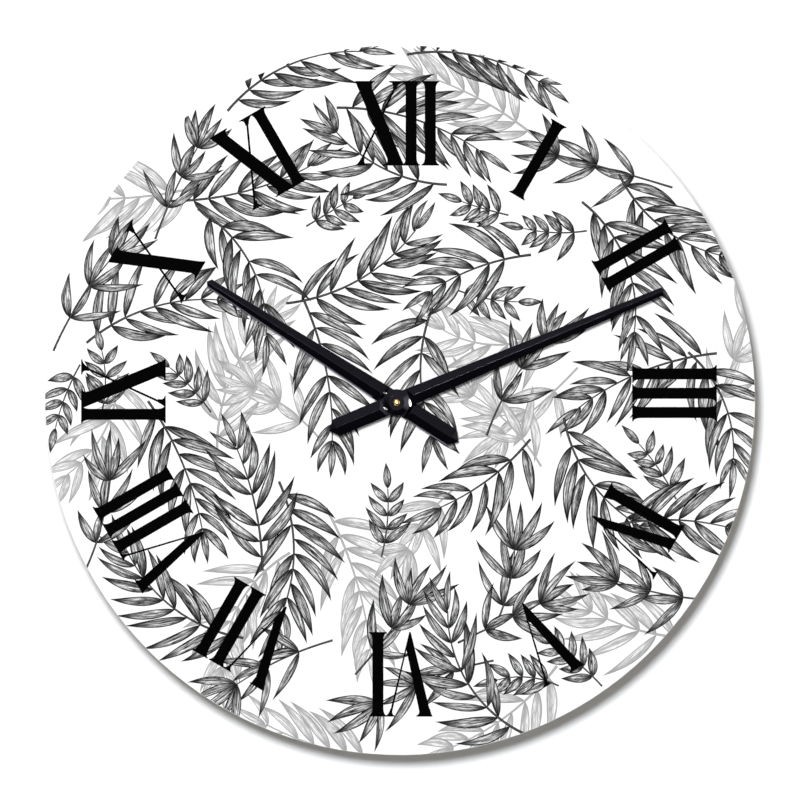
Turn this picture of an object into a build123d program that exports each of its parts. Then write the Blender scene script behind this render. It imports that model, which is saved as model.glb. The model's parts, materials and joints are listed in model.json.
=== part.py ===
"""Round wall clock: printed dial panel, two faceted hands and a quartz movement behind it.

Millimetres. +X is right, +Z is up (towards XII) and the dial faces -Y. The origin lies on the
axis of the hands, in the plane where the back of the movement meets the wall. Every height
named w_... is measured from that wall plane towards the viewer.
"""
import os
from math import acos, atan2, cos, degrees, hypot, pi, radians, sin, sqrt, tan

from build123d import *

os.makedirs("parts", exist_ok=True)

# ---------------------------------------------------------------- driving sizes
panel_d = 406.4        # dial panel, 16 inch
panel_t = 6.35         # quarter inch board
panel_dx = 1.9         # the hole for the hands is drilled this far left of the board's middle
panel_dz = 1.4         # and this far below it
print_t = 0.3          # printed sheet laminated on the board
minute_len = 166.5     # axis to tip
hour_len = 128.7
tail_len = 42.0        # axis to the end of the counterweight tail
minute_w0 = 10.5       # arm width at the hub
minute_w1 = 4.6        # arm width at the tip
hour_w0 = 11.0
hour_w1 = 5.2
minute_angle = 67.3    # clockwise from XII
hour_angle = 302.5
hand_t = 0.35          # thickness of a hand's edge
rim_w = 0.6            # steep rim along an arm's edges
rim_slope = 35.0
roof_slope = 14.0      # slope of the two facets of an arm, degrees
crest_w = 0.36         # blunt crest where the two facets of an arm meet
hip_l = 2.8            # length of the sloping end of a ridge beside the hub
fine = 0.04            # what is left of the rim's width at the two ends of an arm's top
hub_d = 15.2           # foot of the minute hand's conical hub
hub_top_d = 8.8
cap_d = 4.1            # domed brass nut that holds the minute hand
bush_d = 8.0           # M8 threaded bush
tube_d = 5.0           # tube of the hour wheel
arbor_d = 3.3          # minute arbor
nut_af = 12.0          # hex nut across flats
cell_d = 14.1          # AA cell
cell_l = 50.0          # AA cell with its nub
wall = 1.3             # side walls of the movement case
cover_t = 1.2          # back cover
bracket_t = 1.0        # steel of the hanger
hanger_w = 34.0        # its base plate
hanger_drop = 16.0     # how far the base plate reaches below the hands' axis
nail_up = 10.5         # nail hole over the top of the case
gasket_t = 1.0
nail_r = 4.0           # hole of the hanger that a nail's head passes
run = 0.04             # radial clearance of a pivot in its hole
gap = 0.25             # room between pieces that pass each other


def arm_rise(half, rim, crest):
    """Height of an arm's ridge over its edge: the steep rim, then the facet up to the crest."""
    return rim * tan(radians(rim_slope)) + (half - rim - crest) * tan(radians(roof_slope))


# ---------------------------------------------------------------- gear train
# teeth of each wheel and of the pinion that drives or is driven by it
n_rotor, n_fifth, n_fifth_p, n_fourth = 10, 60, 12, 60
n_fourth_p, n_third, n_third_p, n_centre = 8, 60, 8, 64
n_cannon, n_minute, n_minute_p, n_hour = 12, 36, 10, 40
n_set = 12
d_third = 11.0         # centre axis to third wheel, shared by both of its meshes
d_motion = 9.6         # centre axis to minute wheel, shared by both of its meshes
m_seconds = 2 * d_third / (n_fourth_p + n_third)
m_centre = 2 * d_third / (n_third_p + n_centre)
m_cannon = 2 * d_motion / (n_cannon + n_minute)
m_hour = 2 * d_motion / (n_minute_p + n_hour)
m_fourth = 0.32
m_fifth = 0.25
pivot_r = 0.5
arbor_r = 0.7


def polar(centre, reach, angle):
    """Point at a distance from centre, angle in degrees counter-clockwise from +X."""
    return (centre[0] + reach * cos(radians(angle)), centre[1] + reach * sin(radians(angle)))


axis_c = (0.0, 0.0)
axis_t = polar(axis_c, d_third, 150)
axis_f = polar(axis_c, m_fourth * (n_fifth_p + n_fourth) / 2, 35)
axis_r = polar(axis_f, m_fifth * (n_rotor + n_fifth) / 2, 64.5)
axis_m = polar(axis_c, d_motion, 200)
axis_s = polar(axis_m, m_cannon * (n_minute + n_set) / 2, 180)


def tooth_half(teeth, module, r, thin):
    """Half the angle of an involute tooth at radius r, 20 degree pressure angle."""
    base = module * teeth / 2 * cos(radians(20))
    lean = acos(min(1.0, base / r))
    inv_pitch = tan(radians(20)) - radians(20)
    return pi / (2 * teeth) - thin / teeth + inv_pitch - (tan(lean) - lean)


def gear_points(centre, teeth, module, phase, tip=1.0, root=1.25, thin=0.16):
    """Outline of a spur gear; phase is the direction in radians of one tooth's middle."""
    pitch = module * teeth / 2
    base = pitch * cos(radians(20))
    low, high = pitch - root * module, pitch + tip * module
    levels = [low, high]
    if teeth < 20:
        levels = [low, max(base, low + 0.2 * module), pitch + 0.45 * module, high]
    pts = []
    for k in range(teeth):
        mid = phase + 2 * pi * k / teeth
        side = [(r, tooth_half(teeth, module, max(r, base), thin)) for r in levels]
        for r, half in side:
            pts.append((centre[0] + r * cos(mid - half), centre[1] + r * sin(mid - half)))
        for r, half in reversed(side):
            pts.append((centre[0] + r * cos(mid + half), centre[1] + r * sin(mid + half)))
    return pts


def meshed(phase_a, teeth_a, centre_a, teeth_b, centre_b):
    """Phase that puts gear b in mesh with gear a."""
    line = atan2(centre_b[1] - centre_a[1], centre_b[0] - centre_a[0])
    share = (line - phase_a) * teeth_a / (2 * pi)
    return line + pi - (0.5 - share) * 2 * pi / teeth_b


ph_minute = meshed(0.0, n_cannon, axis_c, n_minute, axis_m)
ph_hour = meshed(0.0, n_minute_p, axis_m, n_hour, axis_c)
ph_set = meshed(ph_minute, n_minute, axis_m, n_set, axis_s)
ph_third_p = meshed(0.0, n_centre, axis_c, n_third_p, axis_t)
ph_fourth_p = meshed(0.0, n_third, axis_t, n_fourth_p, axis_c)
ph_fifth_p = meshed(0.0, n_fourth, axis_c, n_fifth_p, axis_f)
ph_rotor = meshed(0.0, n_fifth, axis_f, n_rotor, axis_r)

# ---------------------------------------------------------------- heights above the wall
w_in = cover_t
w_pivot = w_in - 0.4                 # tip of every rear pivot, inside the cover's bosses
w_boss = w_in + 0.9                  # top of the cover's bosses
w_fourth = w_boss + 0.5              # fourth wheel
wheel_t = 0.8
w_stator = w_fourth + 0.4
stator_t = 0.8
w_third = w_fourth + wheel_t + 0.6   # third wheel
w_fifth = w_third + wheel_t + 0.45   # fifth wheel
fifth_t = 0.7
w_centre = w_fifth + fifth_t + 0.45  # centre wheel
centre_t = 1.0
w_plate = w_centre + centre_t + 1.2  # middle plate
plate_t = 1.0
w_motion = w_plate + plate_t         # floor of the motion work
w_minute = w_motion + 0.8            # minute wheel
w_hour = w_minute + 1.9              # hour wheel
w_front = w_hour + 1.0 + 0.3 + 1.0   # inside of the case's front wall
w_case = max(w_front + 1.2, cell_d + 1.9)
w_bracket = w_case + bracket_t
w_gasket = w_bracket + gasket_t
w_panel = w_gasket + panel_t
w_print = w_panel + print_t
washer_t = 0.5
nut_t = 2.0
w_washer = w_print + washer_t
w_nut = w_washer + nut_t
w_bush = w_nut + 0.5
w_hour_hand = w_bush + 0.4
hour_rise = arm_rise(hour_w0 / 2, rim_w, crest_w / 2)
minute_rise = arm_rise(minute_w0 / 2, rim_w, crest_w / 2)
w_tube = w_hour_hand + hand_t + hour_rise + 0.1
w_minute_hand = w_tube + 0.25
hub_h = hand_t + minute_rise + 0.5
w_hub = w_minute_hand + hub_h

# ---------------------------------------------------------------- plan of the case
wheel_max = max(m_centre * n_centre, m_seconds * n_third, m_fourth * n_fourth) / 2 + m_cannon
z_div = -(wheel_max + 0.9)           # top of the wall between gears and cell
div_t = 1.0
bay_h = cell_d + 0.5
z_bay = z_div - div_t - bay_h        # floor of the battery bay
z_bottom = z_bay - wall
z_top = 28.0
coil_x0, coil_x1 = axis_r[0] - 10.4, axis_r[0] + 12.0
in_x = max((cell_l + 3.4) / 2, coil_x1 + 2 * gap)    # room for the cell, and for the coil
half_w = in_x + wall
in_z = z_top - wall
case_h = z_top - z_bottom
case_mid = (z_top + z_bottom) / 2
z_cell = z_bay + bay_h / 2
w_cell = 0.6 + cell_d / 2
w_bay = cell_d + 0.85
post_r = 1.6
posts = [(-(in_x - 2.2), in_z - 2.2), (in_x - 2.2, z_div + 2.2), (-(in_x - 2.2), z_div + 2.2)]
knob_r = 5.2
knob_t = 1.6
well_r = knob_r + 0.7
well_t = 0.8
w_well = 0.3 + knob_t + gap


def face(w):
    """Plane parallel to the dial, w in front of the wall; its x is right and its y is up."""
    return Plane.XZ.offset(w)


def disc(centre, r, w0, w1, mode=Mode.ADD):
    """Cylinder along the viewing direction from w0 to w1."""
    with BuildSketch(face(w0)) as outline:
        with Locations(centre):
            Circle(r)
    extrude(outline.sketch, amount=w1 - w0, mode=mode)


def block(x0, x1, z0, z1, w0, w1, mode=Mode.ADD):
    """Box between two corners."""
    with BuildSketch(face(w0)) as outline:
        with Locations(((x0 + x1) / 2, (z0 + z1) / 2)):
            Rectangle(abs(x1 - x0), abs(z1 - z0))
    extrude(outline.sketch, amount=w1 - w0, mode=mode)


def gear(centre, teeth, module, phase, w0, w1, tip=1.0):
    """Spur gear from w0 to w1."""
    with BuildSketch(face(w0)) as outline:
        with BuildLine():
            Polyline(*gear_points(centre, teeth, module, phase, tip), close=True)
        make_face()
    extrude(outline.sketch, amount=w1 - w0)


# ================================================================ dial
# board: the one big piece, with a hole for the bush
with BuildPart() as dial_panel:
    with BuildSketch(face(w_gasket)):
        with Locations((panel_dx, panel_dz)):
            Circle(panel_d / 2)
        Circle(bush_d / 2 + 0.2, mode=Mode.SUBTRACT)
    extrude(amount=panel_t)
    chamfer(dial_panel.edges().group_by(Axis.Y)[-1].sort_by(SortBy.RADIUS)[-1], 0.5)
dial_panel.part.label = "dial_panel"
export_step(dial_panel.part, "parts/dial_panel.step")

# printed sheet laminated over the front of the board
with BuildPart() as printed_face:
    with BuildSketch(face(w_panel)):
        with Locations((panel_dx, panel_dz)):
            Circle(panel_d / 2)
        Circle(bush_d / 2 + 0.2, mode=Mode.SUBTRACT)
    extrude(amount=print_t)
printed_face.part.label = "printed_face"
export_step(printed_face.part, "parts/printed_face.step")

# ================================================================ fixings on the bush
# rubber washer between the hanger and the back of the board
with BuildPart() as rubber_gasket:
    with BuildSketch(face(w_bracket)):
        Circle(15)
        Circle(bush_d / 2 + 0.15, mode=Mode.SUBTRACT)
    extrude(amount=gasket_t)
rubber_gasket.part.label = "rubber_gasket"
export_step(rubber_gasket.part, "parts/rubber_gasket.step")

# thin washer under the hex nut
with BuildPart() as dial_washer:
    with BuildSketch(face(w_print)):
        Circle(nut_af / 2 + 1.2)
        Circle(bush_d / 2 + 0.1, mode=Mode.SUBTRACT)
    extrude(amount=washer_t)
dial_washer.part.label = "dial_washer"
export_step(dial_washer.part, "parts/dial_washer.step")

# hex nut that clamps the board to the movement
with BuildPart() as hex_nut:
    with BuildSketch(face(w_washer)):
        RegularPolygon(nut_af / 2, 6, major_radius=False)
        Circle(bush_d / 2, mode=Mode.SUBTRACT)
    extrude(amount=nut_t)
    chamfer(hex_nut.edges().filter_by(GeomType.CIRCLE).group_by(Axis.Y)[0], 0.3)
hex_nut.part.label = "hex_nut"
export_step(hex_nut.part, "parts/hex_nut.step")

# hanger: base plate under the board, riser bent back over the case, tab with the nail hole
tab_w = 24.0
z_tab = z_top + gap + bracket_t
z_nail = z_top + nail_up
w_tab = 1.5
with BuildPart() as hanger_bracket:
    with BuildSketch(face(w_case)):
        with Locations((0, (z_tab - hanger_drop) / 2)):
            Rectangle(hanger_w, z_tab + hanger_drop)
        Circle(bush_d / 2 + 0.15, mode=Mode.SUBTRACT)
        with Locations((-11, 17), (11, 17)):
            Circle(3.2, mode=Mode.SUBTRACT)
    extrude(amount=bracket_t)
    block(-hanger_w / 2, hanger_w / 2, z_top + gap, z_tab, w_tab + bracket_t, w_case)
    with BuildSketch(face(w_tab)):
        with Locations((0, z_top + gap + 4)):
            Rectangle(tab_w, 8)
        with Locations((0, z_top + gap + 9)):
            Circle(tab_w / 2)
        with Locations((0, z_top - 10 + gap)):
            Rectangle(60, 20, mode=Mode.SUBTRACT)
        with Locations((0, z_top + gap + bracket_t / 2)):
            Rectangle(hanger_w, bracket_t)
        with Locations((0, z_nail)):
            Circle(nail_r, mode=Mode.SUBTRACT)
        with Locations((0, z_nail + 4)):
            SlotCenterToCenter(4, 3.4, rotation=90, mode=Mode.SUBTRACT)
    extrude(amount=bracket_t)
    fillet(hanger_bracket.edges().filter_by(Axis.Y).filter_by(
        lambda e: e.center().Z < 0), 4)
hanger_bracket.part.label = "hanger_bracket"
export_step(hanger_bracket.part, "parts/hanger_bracket.step")

# ================================================================ movement case
# moulded front half: five walls round the gears, and the battery bay below them
with BuildPart() as case_front:
    with BuildSketch(face(w_in)):
        with Locations((0, case_mid)):
            RectangleRounded(2 * half_w, case_h, 3)
    extrude(amount=w_case - w_in)
    block(-in_x, in_x, z_div, in_z, w_in, w_front, Mode.SUBTRACT)
    block(-in_x, in_x, z_bay, z_bay + bay_h, w_in, w_bay, Mode.SUBTRACT)
    # posts that carry the middle plate, each with a pin that is riveted over it
    for spot in posts:
        disc(spot, post_r, w_motion, w_front)
        disc(spot, 0.7, w_plate, w_motion)
    # blind holes for the front pivots, and the bush's seat
    disc(axis_m, pivot_r + run, w_front, w_front + 0.7, Mode.SUBTRACT)
    disc(axis_s, pivot_r + run, w_front, w_front + 0.7, Mode.SUBTRACT)
    disc(axis_c, bush_d / 2, w_front, w_case, Mode.SUBTRACT)
    # windows for the cover's snaps, two in the top wall and one in each side wall
    block(-16, -10, in_z, z_top, w_in + 1.6, w_in + 3.2, Mode.SUBTRACT)
    block(10, 16, in_z, z_top, w_in + 1.6, w_in + 3.2, Mode.SUBTRACT)
    block(-half_w, -in_x, 9, 15, w_in + 1.6, w_in + 3.2, Mode.SUBTRACT)
    block(in_x, half_w, 9, 15, w_in + 1.6, w_in + 3.2, Mode.SUBTRACT)
case_front.part.label = "case_front"
export_step(case_front.part, "parts/case_front.step")

# snap-in back cover: bearing bosses inside, knob well, open over the battery bay
with BuildPart() as case_back:
    with BuildSketch(face(0)):
        with Locations((0, case_mid)):
            RectangleRounded(2 * half_w, case_h, 3)
        with Locations((0, z_cell)):
            Rectangle(2 * in_x - 0.6, bay_h - 0.2, mode=Mode.SUBTRACT)
    extrude(amount=w_in)
    for spot in (axis_c, axis_t, axis_f, axis_r):
        disc(spot, 1.5, w_in, w_boss)
        disc(spot, pivot_r + run, w_pivot - 0.2, w_boss, Mode.SUBTRACT)
    disc(axis_s, well_r + well_t, w_in, w_well + well_t)
    disc(axis_s, well_r, 0, w_well, Mode.SUBTRACT)
    disc(axis_s, arbor_r + 0.4 + run, w_well, w_well + well_t, Mode.SUBTRACT)
    # spring tongues with a barb each
    for x in (-13, 13):
        block(x - 2.8, x + 2.8, in_z - 1.1, in_z - 0.1, w_in, w_in + 3.6)
        block(x - 2.6, x + 2.6, in_z - 0.1, in_z + 0.8, w_in + 1.9, w_in + 3.0)
    for side in (-1, 1):
        block(side * (in_x - 1.1), side * (in_x - 0.1), 9.2, 14.8, w_in, w_in + 3.6)
        block(side * (in_x - 0.1), side * (in_x + 0.8), 9.4, 14.6, w_in + 1.9, w_in + 3.0)
case_back.part.label = "case_back"
export_step(case_back.part, "parts/case_back.step")

# brass bush moulded into the front wall; the hour tube runs in it
with BuildPart() as threaded_bush:
    disc(axis_c, bush_d / 2 + 2, w_front - 1.0, w_front)
    disc(axis_c, bush_d / 2, w_front, w_bush)
    chamfer(threaded_bush.edges().group_by(Axis.Y)[0], 0.4)
    disc(axis_c, tube_d / 2 + 0.05, w_front - 1.0, w_bush, Mode.SUBTRACT)
threaded_bush.part.label = "threaded_bush"
export_step(threaded_bush.part, "parts/threaded_bush.step")

# middle plate: front bearings of the going train, rear bearings of the motion work
z_coil = axis_r[1] + 7.0
screw_spots = [(coil_x0 + 1.2, z_coil), (coil_x1 - 1.2, z_coil)]
w_core = w_stator + stator_t
core_t = 0.8
board_z0 = axis_t[1] + m_seconds * (n_third / 2 + 1) + 1.4
board_pegs = [(-(in_x - 6), in_z - 2.6), (-6.0, in_z - 2.6)]
w_board = w_in + 1.0
board_t = 0.8
with BuildPart() as middle_plate:
    block(-(in_x - 0.6), in_x - 0.6, z_div + 0.3, in_z - 1.6, w_plate, w_motion)
    for spot in posts:
        disc(spot, 0.7, w_plate, w_motion, Mode.SUBTRACT)
    for spot in (axis_t, axis_f, axis_r, axis_m):
        disc(spot, pivot_r + run, w_plate, w_motion, Mode.SUBTRACT)
    disc(axis_c, arbor_d / 2 + run, w_plate, w_motion, Mode.SUBTRACT)
    disc(axis_s, arbor_r + 0.4 + run, w_plate, w_motion, Mode.SUBTRACT)
    # legs that hold the coil and the circuit board
    for spot in screw_spots:
        disc(spot, 1.7, w_core + core_t, w_plate)
        disc(spot, 0.6, w_core + core_t, w_core + core_t + 2.6, Mode.SUBTRACT)
    for spot in board_pegs:
        disc(spot, 1.4, w_board + board_t, w_plate)
        disc(spot, 0.6, w_board, w_board + board_t)
middle_plate.part.label = "middle_plate"
export_step(middle_plate.part, "parts/middle_plate.step")

# ================================================================ stepping motor and electronics
# stator: strip with the rotor's hole, two legs up to the ends of the coil core
with BuildPart() as stator:
    with BuildSketch(face(w_stator)):
        with Locations(((coil_x0 + coil_x1) / 2, axis_r[1])):
            Rectangle(coil_x1 - coil_x0, 4.6)
        with Locations(axis_r):
            Circle(4.4)
        for x in (coil_x0 + 1.6, coil_x1 - 1.6):
            with Locations((x, (axis_r[1] + z_coil + 1.6) / 2)):
                Rectangle(3.2, z_coil + 1.6 - axis_r[1])
        with Locations(axis_r):
            Circle(2.6, mode=Mode.SUBTRACT)
        with Locations((axis_r[0] - 4.4, axis_r[1] + 1.0), (axis_r[0] + 4.4, axis_r[1] - 1.0)):
            Circle(0.9, mode=Mode.SUBTRACT)
        with Locations(*screw_spots):
            Circle(0.7, mode=Mode.SUBTRACT)
    extrude(amount=stator_t)
stator.part.label = "stator"
export_step(stator.part, "parts/stator.step")

# flat iron core through the coil
with BuildPart() as coil_core:
    with BuildSketch(face(w_core)):
        with Locations(((coil_x0 + coil_x1) / 2, z_coil)):
            Rectangle(coil_x1 - coil_x0, 2.4)
        with Locations(*screw_spots):
            Circle(0.7, mode=Mode.SUBTRACT)
    extrude(amount=core_t)
coil_core.part.label = "coil_core"
export_step(coil_core.part, "parts/coil_core.step")

# plastic bobbin with two flanges
bob0, bob1 = coil_x0 + 3.3, coil_x1 - 3.3
coil_axis_w = w_core + core_t / 2
flange_r = coil_axis_w - w_in - gap
with BuildPart() as coil_bobbin:
    block(bob0, bob1, z_coil - 1.9, z_coil + 1.9, coil_axis_w - 1.1, coil_axis_w + 1.1)
    for x in (bob0, bob1 - 0.8):
        block(x, x + 0.8, z_coil - flange_r, z_coil + flange_r,
              coil_axis_w - flange_r, coil_axis_w + flange_r)
    block(bob0, bob1, z_coil - 1.2, z_coil + 1.2, w_core, w_core + core_t, Mode.SUBTRACT)
coil_bobbin.part.label = "coil_bobbin"
export_step(coil_bobbin.part, "parts/coil_bobbin.step")

# enamelled copper winding
with BuildPart() as coil_winding:
    with BuildSketch(Plane.YZ.offset(bob0 + 0.8)):
        with Locations((-coil_axis_w, z_coil)):
            RectangleRounded(2 * flange_r - 0.8, 2 * flange_r - 0.8, 1.4)
            Rectangle(2.2, 3.8, mode=Mode.SUBTRACT)
    extrude(amount=bob1 - bob0 - 1.6)
coil_winding.part.label = "coil_winding"
export_step(coil_winding.part, "parts/coil_winding.step")

# two screws that pull stator and core together
with BuildPart() as coil_screws:
    for spot in screw_spots:
        disc(spot, 1.3, w_stator - 0.7, w_stator)
        disc(spot, 0.6, w_stator, w_core + core_t + 2.4)
coil_screws.part.label = "coil_screws"
export_step(coil_screws.part, "parts/coil_screws.step")

# circuit board on the plate's pegs
with BuildPart() as circuit_board:
    block(-(in_x - 1.8), -1.6, board_z0, in_z - 1.2, w_board, w_board + board_t)
    for spot in board_pegs:
        disc(spot, 0.6, w_board, w_board + board_t, Mode.SUBTRACT)
circuit_board.part.label = "circuit_board"
export_step(circuit_board.part, "parts/circuit_board.step")

# resin drop over the chip
chip_at = (-(in_x - 9.3), (board_z0 + in_z - 1.2) / 2)
with BuildPart() as chip_cover:
    disc(chip_at, 2.6, w_board + board_t, w_board + board_t + 1.0)
    chamfer(chip_cover.edges().group_by(Axis.Y)[0], 0.7)
chip_cover.part.label = "chip_cover"
export_step(chip_cover.part, "parts/chip_cover.step")

# quartz crystal in its can, lying on the board
crystal_at = (-9.5, board_z0 + 2.2)
with BuildPart() as quartz_crystal:
    with BuildSketch(Plane.YZ.offset(crystal_at[0] - 3)):
        with Locations((-(w_board + board_t + 1.0), crystal_at[1])):
            Circle(1.0)
    extrude(amount=6)
    chamfer(quartz_crystal.edges().filter_by(GeomType.CIRCLE).group_by(Axis.X)[-1], 0.2)
    block(crystal_at[0] - 4.6, crystal_at[0] - 3, crystal_at[1] - 0.5, crystal_at[1] - 0.2,
          w_board + board_t, w_board + board_t + 0.6)
    block(crystal_at[0] - 4.6, crystal_at[0] - 3, crystal_at[1] + 0.2, crystal_at[1] + 0.5,
          w_board + board_t, w_board + board_t + 0.6)
quartz_crystal.part.label = "quartz_crystal"
export_step(quartz_crystal.part, "parts/quartz_crystal.step")

# ================================================================ battery and contacts
# plate spring at the negative end, with a tail that runs up to the board
t_strip = 0.35
neg_x = -in_x + t_strip
cell_x0 = -in_x + 3.0
cell_x1 = cell_x0 + cell_l
with BuildPart() as contact_negative:
    block(-in_x, neg_x, z_cell - 5, z_cell + 5, w_cell - 4.5, w_cell + 4.5)
    with BuildSketch(face(w_cell - 2.5)):
        with BuildLine():
            Polyline((neg_x, z_cell - 4.6), (cell_x0 - 0.1, z_cell + 0.6),
                     (cell_x0 - 0.1, z_cell + 1.4), (neg_x + 0.2, z_cell + 4.4),
                     (neg_x + 0.2, z_cell + 4.0), (cell_x0 - 0.45, z_cell + 1.2),
                     (cell_x0 - 0.45, z_cell + 0.7), (neg_x, z_cell - 4.1), close=True)
        make_face()
    extrude(amount=5)
contact_negative.part.label = "contact_negative"
export_step(contact_negative.part, "parts/contact_negative.step")

# plain plate at the positive end with a pressed dimple
with BuildPart() as contact_positive:
    block(in_x - t_strip, in_x, z_cell - 5, z_cell + 5, w_cell - 4.5, w_cell + 4.5)
    with BuildSketch(Plane.YZ.offset(cell_x1 + 0.02)):
        with Locations((-w_cell, z_cell)):
            Circle(1.6)
    extrude(amount=in_x - t_strip - cell_x1 - 0.02)
contact_positive.part.label = "contact_positive"
export_step(contact_positive.part, "parts/contact_positive.step")

# the two leads from the contacts up the side walls to the circuit board
with BuildPart() as contact_leads:
    block(-in_x + 0.05, -in_x + 0.4, z_div + 0.1, board_z0 + 3, w_plate - 3.2, w_plate - 1.4)
    block(-in_x + 0.05, -(in_x - 2.6), board_z0 + 2.6, board_z0 + 3,
          w_board + board_t + 0.05, w_plate - 1.4)
    block(in_x - 0.4, in_x - 0.05, z_div + 0.1, 8.6, w_plate - 3.2, w_plate - 1.4)
contact_leads.part.label = "contact_leads"
export_step(contact_leads.part, "parts/contact_leads.step")

# AA cell with its nub to the right
with BuildPart() as battery:
    with BuildSketch(Plane.YZ.offset(cell_x0)):
        with Locations((-w_cell, z_cell)):
            Circle(cell_d / 2)
    extrude(amount=cell_l - 1.5)
    chamfer(battery.edges().filter_by(GeomType.CIRCLE), 0.5)
    with BuildSketch(Plane.YZ.offset(cell_x1 - 1.5)):
        with Locations((-w_cell, z_cell)):
            Circle(2.7)
    extrude(amount=1.5)
battery.part.label = "battery"
export_step(battery.part, "parts/battery.step")

# ================================================================ going train
# rotor: magnet on a moulded pinion
with BuildPart() as rotor_magnet:
    disc(axis_r, 2.0, w_stator - 0.2, w_stator + stator_t + 0.2)
    disc(axis_r, arbor_r + 0.2, w_stator - 0.2, w_stator + stator_t + 0.2, Mode.SUBTRACT)
rotor_magnet.part.label = "rotor_magnet"
export_step(rotor_magnet.part, "parts/rotor_magnet.step")

with BuildPart() as rotor_pinion:
    disc(axis_r, pivot_r, w_pivot, w_boss + 0.1)
    disc(axis_r, arbor_r + 0.2, w_boss + 0.1, w_fifth - 0.3)
    gear(axis_r, n_rotor, m_fifth, ph_rotor, w_fifth - 0.3, w_fifth + fifth_t + 0.2)
    disc(axis_r, arbor_r, w_fifth + fifth_t + 0.2, w_plate - 0.3)
    disc(axis_r, pivot_r, w_plate - 0.3, w_motion)
rotor_pinion.part.label = "rotor_pinion"
export_step(rotor_pinion.part, "parts/rotor_pinion.step")

# fifth wheel, turned by the rotor
with BuildPart() as fifth_wheel:
    disc(axis_f, pivot_r, w_pivot, w_boss + 0.1)
    disc(axis_f, arbor_r, w_boss + 0.1, w_plate - 0.3)
    gear(axis_f, n_fifth_p, m_fourth, ph_fifth_p, w_fourth - 0.2, w_fourth + wheel_t + 0.2)
    gear(axis_f, n_fifth, m_fifth, 0.0, w_fifth, w_fifth + fifth_t, 0.9)
    disc(axis_f, pivot_r, w_plate - 0.3, w_motion)
fifth_wheel.part.label = "fifth_wheel"
export_step(fifth_wheel.part, "parts/fifth_wheel.step")

# fourth wheel, one turn a minute, on the axis of the hands
w_arbor = w_fifth + 0.2
with BuildPart() as fourth_wheel:
    disc(axis_c, pivot_r, w_pivot, w_boss + 0.1)
    disc(axis_c, arbor_r, w_boss + 0.1, w_arbor - 0.3)
    gear(axis_c, n_fourth, m_fourth, 0.0, w_fourth, w_fourth + wheel_t, 0.9)
    gear(axis_c, n_fourth_p, m_seconds, ph_fourth_p, w_third - 0.3, w_third + wheel_t + 0.2)
    disc(axis_c, pivot_r, w_arbor - 0.3, w_arbor + 1.1)
fourth_wheel.part.label = "fourth_wheel"
export_step(fourth_wheel.part, "parts/fourth_wheel.step")

# third wheel, between the fourth pinion and the centre wheel
with BuildPart() as third_wheel:
    disc(axis_t, pivot_r, w_pivot, w_boss + 0.1)
    disc(axis_t, arbor_r, w_boss + 0.1, w_plate - 0.3)
    gear(axis_t, n_third, m_seconds, 0.0, w_third, w_third + wheel_t, 0.9)
    gear(axis_t, n_third_p, m_centre, ph_third_p, w_centre - 0.2, w_centre + centre_t + 0.2)
    disc(axis_t, pivot_r, w_plate - 0.3, w_motion)
third_wheel.part.label = "third_wheel"
export_step(third_wheel.part, "parts/third_wheel.step")

# centre wheel, gripped on the minute arbor
with BuildPart() as centre_wheel:
    gear(axis_c, n_centre, m_centre, 0.0, w_centre, w_centre + centre_t, 0.9)
    disc(axis_c, arbor_d / 2, w_centre, w_centre + centre_t, Mode.SUBTRACT)
centre_wheel.part.label = "centre_wheel"
export_step(centre_wheel.part, "parts/centre_wheel.step")

# minute arbor with the cannon pinion, a flatted seat for the hand and a threaded end
flat_d = arbor_d - 0.9
with BuildPart() as minute_arbor:
    disc(axis_c, arbor_d / 2, w_arbor, w_minute_hand - 0.1)
    gear(axis_c, n_cannon, m_cannon, 0.0, w_motion + 0.3, w_minute + 1.5)
    with BuildSketch(face(w_minute_hand - 0.1)):
        with Locations(axis_c):
            Circle(arbor_d / 2)
            Rectangle(arbor_d, flat_d, mode=Mode.INTERSECT)
    extrude(amount=hub_h - 0.1)
    disc(axis_c, 1.0, w_hub - 0.2, w_hub + 0.9)
    disc(axis_c, pivot_r + run, w_arbor, w_arbor + 1.3, Mode.SUBTRACT)
minute_arbor.part.label = "minute_arbor"
export_step(minute_arbor.part, "parts/minute_arbor.step")

# ================================================================ motion work
# minute wheel, turning once in three hours
with BuildPart() as minute_wheel:
    disc(axis_m, pivot_r, w_plate + 0.1, w_motion + 0.2)
    disc(axis_m, arbor_r + 0.2, w_motion + 0.2, w_front - 0.2)
    gear(axis_m, n_minute, m_cannon, ph_minute, w_minute, w_minute + 1.0, 0.9)
    gear(axis_m, n_minute_p, m_hour, 0.0, w_minute + 1.0, w_hour + 1.1)
    disc(axis_m, pivot_r, w_front - 0.2, w_front + 0.5)
minute_wheel.part.label = "minute_wheel"
export_step(minute_wheel.part, "parts/minute_wheel.step")

# hour wheel with the long tube that carries the hour hand
with BuildPart() as hour_wheel:
    gear(axis_c, n_hour, m_hour, ph_hour, w_hour, w_hour + 1.0, 0.9)
    disc(axis_c, tube_d / 2, w_hour, w_tube)
    disc(axis_c, arbor_d / 2 + 0.05, w_hour, w_tube, Mode.SUBTRACT)
hour_wheel.part.label = "hour_wheel"
export_step(hour_wheel.part, "parts/hour_wheel.step")

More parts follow.
